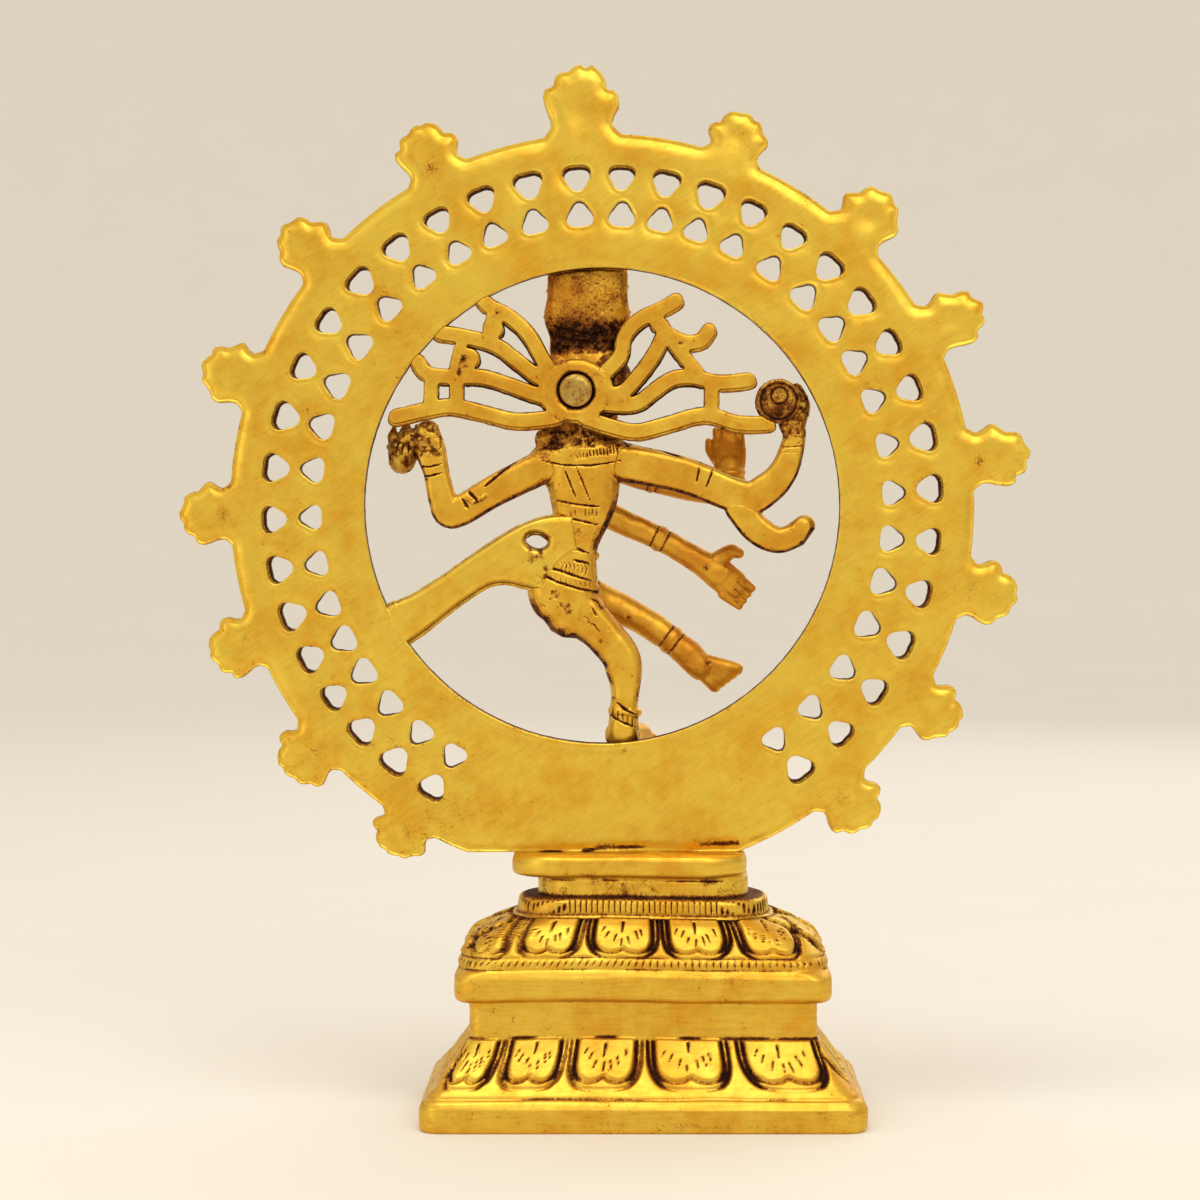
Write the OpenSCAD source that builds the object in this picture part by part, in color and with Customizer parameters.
// Cast brass statue of a four-armed dancer inside a ring of flames, on a lotus pedestal.
//
// +Z is up, the dancer faces -Y and the flat polished back faces +Y, so +X is the
// dancer's left-hand side. The origin is the middle of the face that the pedestal
// rests on. The ring and the dancer lean a few degrees together, as hand-fitted
// castings do, so both are drawn in the ring's own upright frame and then leaned.

/* [Pedestal] */
// Width of the bottom slab
base_w = 106; // [98:1:116]
// Depth of the bottom slab
base_d = 60; // [56:1:72]
// Height of the bottom slab
slab_h = 8; // [6:0.5:10]
// Height of the flared petal band above the slab
flare_h = 13; // [10:0.5:16]
// Height of the plain recessed band
recess_h = 8.5; // [6:0.5:11]
// Height of the upper slab
upper_slab_h = 7.5; // [5:0.5:9]
// Height of the rounded lotus dome
dome_h = 12; // [10:0.5:14]
// Height of the ticked ring above the dome
neck_ring_h = 4; // [3:0.5:5]
// Height of the narrow neck
neck_h = 5; // [4:0.5:7]
// Height of the collar that carries the ring
collar_h = 5; // [4:0.5:8]
// Sideways set of the collar from the middle of the pedestal
collar_x = 3.3; // [0:0.1:5]
// Thickness of the pedestal's cast wall
wall = 3.5; // [2.5:0.1:4.5]

/* [Ring of flames] */
// Radius of the ring's outer rim
ring_r = 90.5; // [86:0.5:95]
// Radius of the ring's opening
opening_r = 58; // [54:0.5:61]
// Thickness of the ring
ring_t = 5.5; // [4.5:0.1:7]
// Height of the ring's centre above the table
ring_z = 147.3; // [142:0.1:152]
// Sideways set of the ring's centre from the middle of the pedestal
ring_x = 10; // [0:0.5:14]
// Lean of the ring and the dancer to the dancer's left
lean = 3; // [0:0.5:5]
// Number of holes in each of the two rows
holes_per_row = 35; // [25:2:39]
// Angle from one hole to the next
hole_pitch = 8.65; // [8:0.05:8.8]
// Radius of the outer row of holes
outer_row_r = 80.2; // [77:0.1:81]
// Radius of the inner row of holes
inner_row_r = 70.8; // [68:0.1:71.5]
// Width of one hole
hole_w = 6.4; // [4:0.1:7]
// Number of flames on each side of the top one
flames_per_side = 7; // [3:1:7]
// Radius of the tip of an ordinary flame
flame_tip_r = 103.5; // [99:0.5:108]
// Radius of the tip of the top flame
top_flame_tip_r = 107.4; // [102:0.1:112]
// Width of an ordinary flame
flame_w = 15.2; // [11:0.1:17]

/* [Hair and rivet] */
// Thickness of the flat fan of hair locks
hair_t = 3.8; // [3:0.1:5]
// Width of one lock
lock_w = 3.4; // [2.4:0.1:3.8]
// Radius of the rivet that holds the fan on the head
rivet_r = 4.1; // [2.5:0.1:4.5]

/* [Fixing] */
// Width of the tenon under the ring
tenon_w = 26; // [20:1:30]
// Radius of the bolt's shank
bolt_r = 2.5; // [2:0.1:3]

/* [Hidden] */

polished = [0.86, 0.66, 0.20];
cast = [0.78, 0.52, 0.16];
dark_cast = [0.62, 0.38, 0.14];

// Heights where the pedestal's bands meet
z_slab = slab_h;
z_flare = z_slab + flare_h;
z_recess = z_flare + recess_h;
z_upper = z_recess + upper_slab_h;
z_dome = z_upper + dome_h;
z_neck_ring = z_dome + neck_ring_h;
z_neck = z_neck_ring + neck_h;
collar_top = z_neck + collar_h;

// Tenon, bolt and the solid web of metal that the bolt clamps
tenon_d = ring_t - 0.5;
tenon_bottom = z_neck_ring - 1;
cavity_top = z_dome - 3;
tapped_depth = 10;
running_gap = 0.1;
washer_h = 1.5;
washer_r = 6.5;
bolt_head_r = 4.6;
bolt_head_h = 3.6;
fine = 48;

ring_back = ring_t / 2;
ring_front = -ring_t / 2;
hair_back = ring_back + 0.3;
hair_front = hair_back - hair_t;

// ---------------------------------------------------------------- shared shapes

// Puts what is drawn in the ring's upright frame at its place above the pedestal
module leaned() {
    translate([ring_x, 0, ring_z]) rotate([0, lean, 0]) children();
}

// A flat plate standing in the XZ plane, drawn as a 2D shape with +Y of the sketch up
module plate(back, front) {
    translate([0, back, 0]) rotate([90, 0, 0]) linear_extrude(back - front) children();
}

// A soft ball, squeezed along Y by its flatness: station = [x, y, z, radius, flatness]
module ball(s) {
    translate([s[0], s[1], s[2]]) scale([1, s[4], 1]) sphere(r = s[3], $fn = 16);
}

// A limb through a list of stations
module limb(stations) {
    for (i = [0 : len(stations) - 2])
        hull() {
            ball(stations[i]);
            ball(stations[i + 1]);
        }
}

// Points of a rounded rectangle, the same number at every size
corner_steps = 5;
function rounded_rect(w, d, r) = [
    for (q = [0 : 3], k = [0 : corner_steps])
        let (a = 90 * q + 90 * k / corner_steps,
             sx = (q == 0 || q == 3) ? 1 : -1,
             sy = (q < 2) ? 1 : -1)
        [sx * (w / 2 - r) + r * cos(a), sy * (d / 2 - r) + r * sin(a)]
];

// A solid lofted through sections [height, width, depth, corner radius, sideways set]
module loft(sections) {
    n = 4 * (corner_steps + 1);
    m = len(sections);
    points = [
        for (s = sections, p = rounded_rect(s[1], s[2], s[3])) [p[0] + s[4], p[1], s[0]]
    ];
    sides = [
        for (j = [0 : m - 2], i = [0 : n - 1], t = [0, 1])
            let (a = j * n + i, b = j * n + (i + 1) % n)
            t == 0 ? [a, b + n, b] : [a, a + n, b + n]
    ];
    bottom = [for (i = [0 : n - 1]) i];
    top = [for (i = [n - 1 : -1 : 0]) (m - 1) * n + i];
    polyhedron(points, concat([bottom, top], sides));
}

// A smooth curve through the given points, with the given number of steps a span
function curve_point(p0, p1, p2, p3, t) =
    0.5 * ((2 * p1) + (p2 - p0) * t + (2 * p0 - 5 * p1 + 4 * p2 - p3) * t * t
           + (3 * p1 - p0 - 3 * p2 + p3) * t * t * t);
function smooth_path(p, steps = 4) = concat(
    [for (i = [0 : len(p) - 2], k = [0 : steps - 1])
        curve_point(p[max(i - 1, 0)], p[i], p[i + 1], p[min(i + 2, len(p) - 1)], k / steps)],
    [p[len(p) - 1]]
);

// Outline of a lock of hair of even width along a path, with round ends
function heading(p, i) =
    let (a = p[max(i - 1, 0)], b = p[min(i + 1, len(p) - 1)]) atan2(b[1] - a[1], b[0] - a[0]);
function lock_outline(p, w) = concat(
    [for (i = [0 : len(p) - 1]) p[i] + w / 2 * [-sin(heading(p, i)), cos(heading(p, i))]],
    [for (a = [60 : -30 : -60])
        p[len(p) - 1] + w / 2 * [cos(heading(p, len(p) - 1) + a), sin(heading(p, len(p) - 1) + a)]],
    [for (i = [len(p) - 1 : -1 : 0])
        p[i] - w / 2 * [-sin(heading(p, i)), cos(heading(p, i))]],
    [for (a = [-120 : -30 : -240])
        p[0] + w / 2 * [cos(heading(p, 0) + a), sin(heading(p, 0) + a)]]
);
module lock(route, w = lock_w) {
    polygon(lock_outline(smooth_path(route), w));
}

// ---------------------------------------------------------------- pedestal

module pedestal_outside() {
    flare = base_w - 23;
    depth = base_d - 22;
    loft([
        [0, base_w, base_d, 5, 0],
        [z_slab - 1, base_w, base_d, 5, 0],
        [z_slab, base_w - 3, base_d - 3, 4, 0],
        [z_slab + 0.3 * flare_h, base_w - 11, base_d - 10, 4, 0],
        [z_slab + 0.7 * flare_h, base_w - 19, base_d - 18, 3, 0],
        [z_flare, flare, depth, 3, 0],
        [z_recess, flare, depth, 3, 0],
        [z_recess, flare + 7, depth + 8, 4, 0],
        [z_upper, flare + 7, depth + 7, 4, 0],
        [z_upper, flare + 5.5, depth + 6, 9, 0],
        [z_upper + 0.3 * dome_h, flare + 4.5, depth + 5, 12, 0],
        [z_upper + 0.6 * dome_h, flare, depth + 1.5, 14, 0],
        [z_upper + 0.82 * dome_h, flare - 10, depth - 3.5, 14, 0.3],
        [z_dome, flare - 22, depth - 9, 12, 0.5],
        [z_neck_ring, flare - 23, depth - 9, 12, 0.5],
        [z_neck_ring, flare - 32, depth - 13, 10, 1],
        [z_neck, flare - 32, depth - 13, 10, 1],
        [z_neck, flare - 26, depth - 10, 10, collar_x],
        [collar_top, flare - 26, depth - 10, 10, collar_x]
    ]);
}

module pedestal_cavity() {
    flare = base_w - 23 - 2 * wall;
    depth = base_d - 22 - 2 * wall;
    loft([
        [-1, base_w - 2 * wall, base_d - 2 * wall, 3, 0],
        [z_slab - wall, base_w - 2 * wall - 2, base_d - 2 * wall - 2, 3, 0],
        [z_flare - wall / 2, flare, depth, 2, 0],
        [z_upper, flare, depth, 4, 0],
        [z_upper + 0.3 * dome_h, flare - 6, depth - 4, 6, 0],
        [cavity_top, flare - 24, depth - 10, 6, 0]
    ]);
}

module pedestal() {
    color(polished) difference() {
        pedestal_outside();
        pedestal_cavity();
        translate([collar_x - tenon_w / 2, -tenon_d / 2, tenon_bottom])
            cube([tenon_w, tenon_d, collar_top]);
        translate([collar_x, 0, cavity_top - 1])
            cylinder(r = bolt_r + running_gap, h = collar_top, $fn = fine);
    }
}

module base_bolt() {
    color(dark_cast) translate([collar_x, 0, cavity_top - washer_h]) union() {
        translate([0, 0, -bolt_head_h]) cylinder(r = bolt_head_r, h = bolt_head_h, $fn = 6);
        cylinder(r = bolt_r, h = washer_h + tenon_bottom - cavity_top + tapped_depth - 1, $fn = fine);
    }
}

module base_washer() {
    color(dark_cast) translate([collar_x, 0, cavity_top - washer_h]) difference() {
        cylinder(r = washer_r, h = washer_h, $fn = fine);
        translate([0, 0, -1]) cylinder(r = bolt_r + running_gap, h = washer_h + 2, $fn = fine);
    }
}

// ---------------------------------------------------------------- ring of flames

// Angle of a flame from the top of the ring towards the dancer's left. The flames crowd a
// little lower down, and from the third one the dancer's right-hand ones stand higher.
function flame_angle(k) = 23.72 * k - 0.419 * k * abs(k) + (k < -2 ? 2.4 : 0);

// Radius of a flame's tip: longest half-way down the dancer's right, shortest at the
// lowest flame on the left
function flame_tip(k) = k == 0 ? top_flame_tip_r
    : k < 0 ? flame_tip_r + 1.8 * cos(60 * (k + 3.6))
    : flame_tip_r - 0.2 * pow(k - 2.5, 2);

// One flame: a filleted neck that opens into a leaf with a tip, two shoulders and two
// barbs, one high and one low. Points are [across, outward], in parts of its width and
// of its height above the rim.
function flame_leaf(high, low) = [
    [-0.62, -0.10], [-0.47, 0.03], [-0.41, 0.12], [-0.42, 0.25], [-0.47, 0.40], [-0.50, 0.52 + high],
    [-0.47, 0.64 + high], [-0.36, 0.70], [-0.32, 0.82 + high], [-0.25, 0.90], [-0.15, 0.90],
    [-0.08, 0.97], [0.01, 1.00], [0.09, 0.94], [0.17, 0.93 + low], [0.28, 0.88], [0.34, 0.76],
    [0.35, 0.62], [0.44, 0.55 + low], [0.50, 0.48 + low], [0.50, 0.37], [0.43, 0.26], [0.39, 0.14],
    [0.45, 0.04], [0.62, -0.10]
];
module flame(k) {
    w = (k == 0 ? 1.2 : 1 + 0.04 * sin(137 * k)) * flame_w;
    h = flame_tip(k) - ring_r;
    side = k < 0 ? 1 : -1;
    leaf = flame_leaf(0.05 * sin(83 * k + 40), 0.06 * cos(59 * k));
    rotate(-flame_angle(k)) translate([0, ring_r])
        polygon([for (p = leaf) [side * p[0] * w, p[1] * h - (p[1] < 0 ? 1 : 0)]]);
}

// Holes are rounded triangles: the outer row points inward, the inner row outward
function soft_triangle(w, squash) = [
    for (a = [0 : 20 : 340]) let (r = w / 2 * (1 + 0.14 * cos(3 * a))) [r * sin(a) * squash, r * cos(a)]
];

// Angle of a pair of holes from the top of the ring towards the dancer's left. The holes
// were marked out by hand, so they stray a few degrees from even spacing.
function hole_angle(i) = 1.4 + hole_pitch * i
    + (i < 0 ? 4.3 * sin(-11 * i) : 2.6 * i / 17 * sin(24 * (i - 6.5)));

module holes() {
    reach = (holes_per_row - 1) / 2;
    for (i = [-reach : reach]) {
        rotate(-hole_angle(i)) translate([0, outer_row_r])
            rotate(180) polygon(soft_triangle(hole_w * (1 + 0.05 * sin(97 * i)), 1.04));
        rotate(-hole_angle(i) - 0.5 * sin(71 * i)) translate([0, inner_row_r])
            polygon(soft_triangle(hole_w * (0.95 + 0.05 * cos(53 * i)), 1.0));
    }
}

module aureole() {
    below = 40;
    color(polished) difference() {
        union() {
            difference() {
                leaned() plate(ring_back, ring_front) difference() {
                    union() {
                        circle(r = ring_r, $fn = 180);
                        for (k = [-flames_per_side : flames_per_side]) flame(k);
                    }
                    circle(r = opening_r, $fn = 180);
                    holes();
                }
                translate([ring_x - below, -ring_t, collar_top - below]) cube([2 * below, 2 * ring_t, below]);
            }
            translate([collar_x - tenon_w / 2, -tenon_d / 2, tenon_bottom])
                cube([tenon_w, tenon_d, collar_top - tenon_bottom + 1]);
        }
        translate([collar_x, 0, tenon_bottom - 1]) cylinder(r = bolt_r, h = tapped_depth + 1, $fn = fine);
    }
}

// ---------------------------------------------------------------- dancer

// Stations are [x, y, z, radius, flatness] about the ring's centre
torso = [
    [4.5, -3, 18, 5, 0.8], [4.5, -2.8, 11, 8.8, 0.62], [4.4, -2.6, 3, 8.6, 0.62],
    [5.4, -2.6, -3.5, 6.9, 0.75], [6.6, -2.6, -9.5, 5.0, 0.95], [8.6, -2.6, -15, 7.0, 0.8],
    [10.6, -2.6, -20, 8.9, 0.68], [9, -2.6, -25, 7.2, 0.78]
];
shoulders = [[13.2, -2.4, 11.2, 4.6, 0.95], [4.5, -2.6, 12.5, 6, 0.85], [-5.4, -2.4, 10.6, 5, 0.95]];
standing_leg = [
    [8, -2.6, -24.5, 6.6, 0.8], [2.4, -2.2, -30.4, 5.0, 0.95], [-2.2, -2, -36.5, 4.7, 0.95],
    [-3.2, -1.8, -40.5, 4.5, 0.95], [-3.3, -1.6, -44.5, 3.7, 1], [-2.8, -1.6, -49, 3.4, 1],
    [-2.3, -2, -54.5, 3.8, 1], [-2, -3, -56.2, 4.4, 1]
];
foot = [[-2, -4, -56, 3.6, 0.9], [-4.5, -9, -56.6, 3.0, 1], [-6.5, -13, -57, 2.8, 1]];

module ring_space() {
    plate(ring_back + 1, ring_front - 0.01) difference() {
        circle(r = ring_r, $fn = 60);
        circle(r = opening_r, $fn = 180);
    }
}

module body_casting() {
    limb(torso);
    limb(shoulders);
    limb(standing_leg);
    limb(foot);
}

// The neck ends in a flat braze joint under the head, and the nape is flat under the hair
neck_joint_z = 19.5;
nape_z = 16.5;
module dancer_body() {
    color(polished) difference() {
        leaned() difference() {
            body_casting();
            ring_space();
            translate([-30, -30, neck_joint_z]) cube([60, 60, 30]);
            translate([-30, hair_front, nape_z]) cube([60, 30, 30]);
        }
        dwarf_solid();
    }
}

skull = [[4.5, -5.5, 22, 5, 0.9], [4.5, -6.2, 27, 7.2, 1], [4.5, -6.4, 31.5, 7.6, 1], [4.5, -6, 36, 6.4, 0.9]];
hair_bun = [
    [8.2, -4, 27, 4.8, 0.8], [7.6, -4.5, 33.6, 5.2, 0.8], [-1, -4.5, 34.5, 6, 0.8],
    [-3.6, -4, 28, 5.5, 0.8], [4, -3.5, 22, 4, 0.8]
];
crown = [
    [2.6, -5, 37, 8.6, 0.55], [1.8, -5, 41, 9.2, 0.42], [1.4, -4.8, 46, 10.9, 0.32],
    [1, -4.6, 51, 10, 0.34], [0.7, -4.4, 56, 9.9, 0.34], [0.5, -4.2, 60, 9.8, 0.34]
];

module head_and_crown() {
    socket_r = rivet_r + 0.05;
    color(cast) leaned() difference() {
        union() {
            limb(skull);
            limb(hair_bun);
            limb(crown);
            hull() {
                ball([4.5, -3.6, 19, 5.2, 0.8]);
                ball([4.5, -4, 24, 5, 0.8]);
            }
        }
        ring_space();
        translate([-30, -30, neck_joint_z - 30]) cube([60, 60, 30]);
        translate([-30, hair_front, neck_joint_z - 1]) cube([60, 20, 20.4]);
        translate([boss_at[0], hair_front + 1, boss_at[1]]) rotate([90, 0, 0])
            cylinder(r = socket_r, h = rivet_buried + 1, $fn = fine);
    }
}

// Routes of the locks, [x, z] about the ring's centre, from the boss outward
locks_left = [
    [[9, 32], [11.9, 35], [15.7, 42.5], [20.4, 47.3], [25, 50], [27.4, 53.2]],
    [[9, 30], [13.8, 32], [19.3, 36.7], [24, 40.4], [31.3, 42.8], [37, 44]],
    [[9, 27], [13.2, 27.3], [21.3, 30.6], [27.7, 32.8], [35.2, 33.2], [40.7, 34.3], [43, 37.4]],
    [[9, 22.5], [12, 21.9], [20, 21.8], [28.2, 24.2], [35.5, 26.1], [42.2, 25.4], [49, 24.2]]
];
locks_right = [
    [[-1, 31], [-6.3, 36], [-7.4, 40.2], [-9.7, 43.4], [-13.3, 45.6], [-17.4, 47.2], [-20.6, 48.9]],
    [[-1, 27.5], [-5.8, 27], [-9.9, 30.4], [-14.5, 36], [-17.2, 41.5], [-15, 45]],
    [[-15.8, 43.5], [-18.8, 40.4], [-22.5, 38.6], [-26.1, 38.8], [-28.2, 41.2]],
    [[-1, 25], [-5.7, 24.2], [-10, 24.5], [-14.6, 27.6], [-19.1, 30], [-24, 30], [-30, 28.4], [-37.2, 28.6]],
    [[3, 21.5], [-3, 19.2], [-9.4, 17.6], [-17, 19.0], [-26.1, 20.8], [-34, 18.3], [-41.4, 17.8]]
];
links = [
    [[24, 47.5], [24.6, 44.4]], [[32.4, 39.8], [33.8, 34.5]], [[39.8, 33], [40.4, 26.5]],
    [[33.8, 32.3], [34, 27]], [[-19.5, 38.7], [-21.9, 35.1], [-24.8, 31]], [[-28.1, 27.6], [-27.8, 21.5]]
];
knob_places = [[24.2, 44.4], [30.4, 37.4]];
boss_w = 18;
boss_h = 14.8;
boss_at = [4.9, 28.3];
rivet_buried = 5;

// The casting is rounded where locks part from each other
crotch_r = 0.35;

module hair_locks() {
    color(polished) leaned() plate(hair_back, hair_front) difference() {
        offset(r = -crotch_r, $fn = 24) offset(r = crotch_r, $fn = 24) union() {
            translate(boss_at) polygon([
                for (a = [0 : 10 : 350]) [boss_w / 2 * cos(a), boss_h / 2 * sin(a)]
            ]);
            for (r = locks_left) lock(r);
            for (r = locks_right) lock(r);
            for (r = links) lock(r, lock_w * 0.95);
            for (p = knob_places) translate(p) circle(r = lock_w * 0.72, $fn = 24);
        }
        translate(boss_at) circle(r = rivet_r + 0.2, $fn = fine);
        translate(drum_at) circle(r = drum_r, $fn = fine);
        difference() {
            circle(r = ring_r, $fn = 60);
            circle(r = opening_r, $fn = 180);
        }
    }
}

module hair_rivet() {
    proud = 1.2;
    color(cast) leaned() translate([boss_at[0], hair_front - rivet_buried, boss_at[1]]) rotate([-90, 0, 0])
        rotate_extrude($fn = fine) polygon([
            [0, 0], [rivet_r, 0], [rivet_r, hair_t + rivet_buried + proud * 0.4],
            [rivet_r * 0.85, hair_t + rivet_buried + proud * 0.85], [rivet_r * 0.5, hair_t + rivet_buried + proud],
            [0, hair_t + rivet_buried + proud]
        ]);
}

// Cuts an arm back to the surface of the body it is brazed to
module brazed_to_body() {
    color(polished) leaned() difference() {
        children();
        body_casting();
    }
}

rear_left_route = [
    [13, -1.6, 10.6, 4.3, 0.9], [25.6, -1, 5.2, 3.9, 0.9], [36.4, -0.7, 0, 3.8, 0.9],
    [38.8, -0.7, 3.5, 3.5, 0.95], [40, -0.7, 10, 3.2, 1], [41.2, -0.8, 16, 3.8, 1],
    [41.6, -1, 20.2, 3, 1]
];
module rear_left_casting() {
    limb(rear_left_route);
    limb([[41.6, -0.8, 17, 3.4, 1], [45, -2.5, 18, 2.6, 1]]);
}

module rear_left_arm() {
    brazed_to_body() rear_left_casting();
}

module fire_bowl() {
    color(dark_cast) leaned() difference() {
        union() {
            limb([[48.2, -3, 13.8, 3.8, 1], [47.8, -3, 16, 4, 1], [47.2, -3, 19.4, 2.6, 1], [46.8, -3, 22.8, 1.1, 1]]);
            limb([[49.6, -3, 17, 1.9, 1], [50.2, -3, 21.4, 0.9, 1]]);
            limb([[45.2, -4.6, 17.6, 1.8, 1], [44.2, -5, 21.6, 0.9, 1]]);
        }
        translate([20, hair_front, 0]) cube([60, 20, 60]);
        rear_left_casting();
    }
}

rear_right_route = [
    [-5.4, -1.6, 10.4, 4.8, 0.9], [-20.4, -1, 6.3, 4.5, 0.9], [-34.5, -0.7, 0.2, 4.2, 0.9],
    [-40.5, -0.7, 2, 4.0, 0.9], [-44.8, -0.7, 6.3, 3.5, 0.95], [-47.6, -0.8, 13.6, 2.9, 1],
    [-47.2, -1, 18, 3.3, 1]
];
drum_at = [-44.2, 23.2];
drum_r = 5.4;
drum_l = 11;

module drum_space() {
    back = 2.6;
    waist = 0.62;
    translate([drum_at[0], back, drum_at[1]]) rotate([90, 0, 0]) rotate_extrude($fn = fine) polygon([
        [0, 0], [drum_r * 0.9, 0], [drum_r, 0.6], [drum_r, 1.6], [drum_r * waist, drum_l / 2],
        [drum_r, drum_l - 1.6], [drum_r, drum_l - 0.6], [drum_r * 0.9, drum_l], [0, drum_l]
    ]);
}

module rear_right_arm() {
    brazed_to_body() difference() {
        union() {
            limb(rear_right_route);
            limb([[-48, -0.8, 17, 2.6, 1], [-50.2, -2.5, 22, 2, 1], [-49, -3.5, 26, 1.6, 1]]);
        }
        drum_space();
    }
}

module hand_drum() {
    color(dark_cast) leaned() drum_space();
}

cobra_route = [
    [-33.4, -0.6, -2.5, 3.6, 0.9], [-37.4, -0.6, -7.8, 3.6, 0.9], [-42, -0.6, -10.6, 3.3, 0.9],
    [-46.4, -0.6, -9.8, 3.0, 0.95], [-48.6, -0.6, -7.6, 2.6, 1]
];
module cobra() {
    color(polished) leaned() difference() {
        limb(cobra_route);
        limb(rear_right_route);
        limb(front_right_route);
    }
}

front_right_route = [
    [-4, -8, 9.5, 4, 0.9], [-18, -10.5, 4.6, 3.7, 0.9], [-31.3, -11, 2, 3.6, 0.9],
    [-31.8, -11, 6, 3.3, 0.9], [-31.9, -11, 8.6, 3.2, 0.8]
];
module front_right_arm() {
    color(cast) leaned() difference() {
        union() {
            limb(front_right_route);
            limb([[-31.9, -11, 8.6, 4, 0.55], [-32, -11.2, 12.4, 4.2, 0.45]]);
            for (f = [-1.5 : 1.5]) limb([
                [-32 + 2.1 * f, -11.2, 12.4, 1.25, 1], [-32 + 2.25 * f, -11.6, 18 - abs(f), 1.1, 1]
            ]);
        }
        body_casting();
        limb(rear_right_route);
    }
}

module front_left_arm() {
    color(cast) leaned() difference() {
        union() {
            limb([
                [13.5, -6.5, 10.5, 4, 0.9], [3, -11, 0.5, 3.9, 0.9], [-4, -11.5, -4, 3.2, 0.9],
                [-14, -11.5, -9.2, 3.0, 0.9], [-23, -11.3, -15, 3.2, 0.9], [-28, -11.2, -18.6, 4, 0.7]
            ]);
            limb([[-28, -11.2, -18.6, 4, 0.6], [-33, -11, -23.2, 4, 0.6]]);
            limb([[-26.5, -11.2, -15.6, 2.2, 1], [-31, -11.4, -13.2, 1.9, 1], [-33, -11.6, -13.6, 1.4, 1]]);
        }
        body_casting();
        rear_left_casting();
        leg_casting();
    }
}

module leg_casting() {
    limb([
        [11.5, -7, -20, 6, 0.8], [2.5, -11, -23.6, 4.8, 0.85], [-5, -11.5, -27, 3.7, 0.95],
        [-12.5, -11, -32, 3.5, 0.95], [-19, -10.6, -37.6, 3.4, 0.95]
    ]);
    limb([[-19, -10.6, -37.6, 3.5, 0.9], [-25.2, -10.6, -46, 2.2, 0.9], [-30.8, -10.6, -42.2, 2, 0.9]]);
    hull() {
        ball([-19, -10.6, -37.6, 3.4, 0.9]);
        ball([-25.2, -10.6, -46, 2.2, 0.9]);
        ball([-30.8, -10.6, -42.2, 2, 0.9]);
    }
}

module raised_leg() {
    color(cast) leaned() difference() {
        leg_casting();
        body_casting();
    }
}

// The sash flies from the waist to the ring and leaves a small eye beside the waist
module sash() {
    back = 2.4;
    front = -2.2;
    color(polished) leaned() difference() {
        plate(back, front) difference() {
            polygon(smooth_path([
                [7, -2], [14, -2], [21.6, -4.4], [30, -9], [39, -14.6], [47.5, -19.4], [56, -23.2],
                [56, -34], [49.4, -31], [43.4, -27.2], [36, -22], [29, -18], [24.4, -17.4],
                [20, -18.6], [12, -20], [6, -14]
            ]));
            translate([16.4, -7.7]) rotate(15) polygon([for (a = [0 : 20 : 340]) [3 * cos(a), 2.1 * sin(a)]]);
        }
        ring_space();
        body_casting();
        rear_left_casting();
    }
}

// ---------------------------------------------------------------- dwarf under the foot

module dwarf_solid() {
    clear_of_ring = 0.01;
    translate([collar_x, 0, collar_top]) difference() {
        union() {
            limb([
                [-21, -8.2, 4, 4.4, 0.9], [-13, -8.2, 6.5, 5.6, 0.9], [-5, -8.3, 12, 7.4, 0.7],
                [3, -8.3, 15.9, 8.4, 0.62], [11, -8.3, 15.6, 6.4, 0.75], [15.5, -8.5, 16.8, 3.4, 1],
                [19.5, -8.6, 19, 5.2, 0.95]
            ]);
            limb([[11, -10, 12, 3.2, 1], [14.5, -10.5, 5, 2.8, 1], [21, -9.5, 3, 2.7, 1]]);
            limb([[-8, -8.2, 4, 5, 0.9], [10, -8.2, 4.5, 5, 0.9]]);
        }
        translate([-50, -50, -50]) cube([100, 100, 50]);
        translate([-50, ring_front - clear_of_ring, -1]) cube([100, 50, 60]);
    }
}
module dwarf() {
    color(cast) dwarf_solid();
}

pedestal();
base_bolt();
base_washer();
aureole();
dwarf();
dancer_body();
head_and_crown();
hair_locks();
hair_rivet();
rear_left_arm();
fire_bowl();
rear_right_arm();
hand_drum();
front_right_arm();
cobra();
front_left_arm();
raised_leg();
sash();
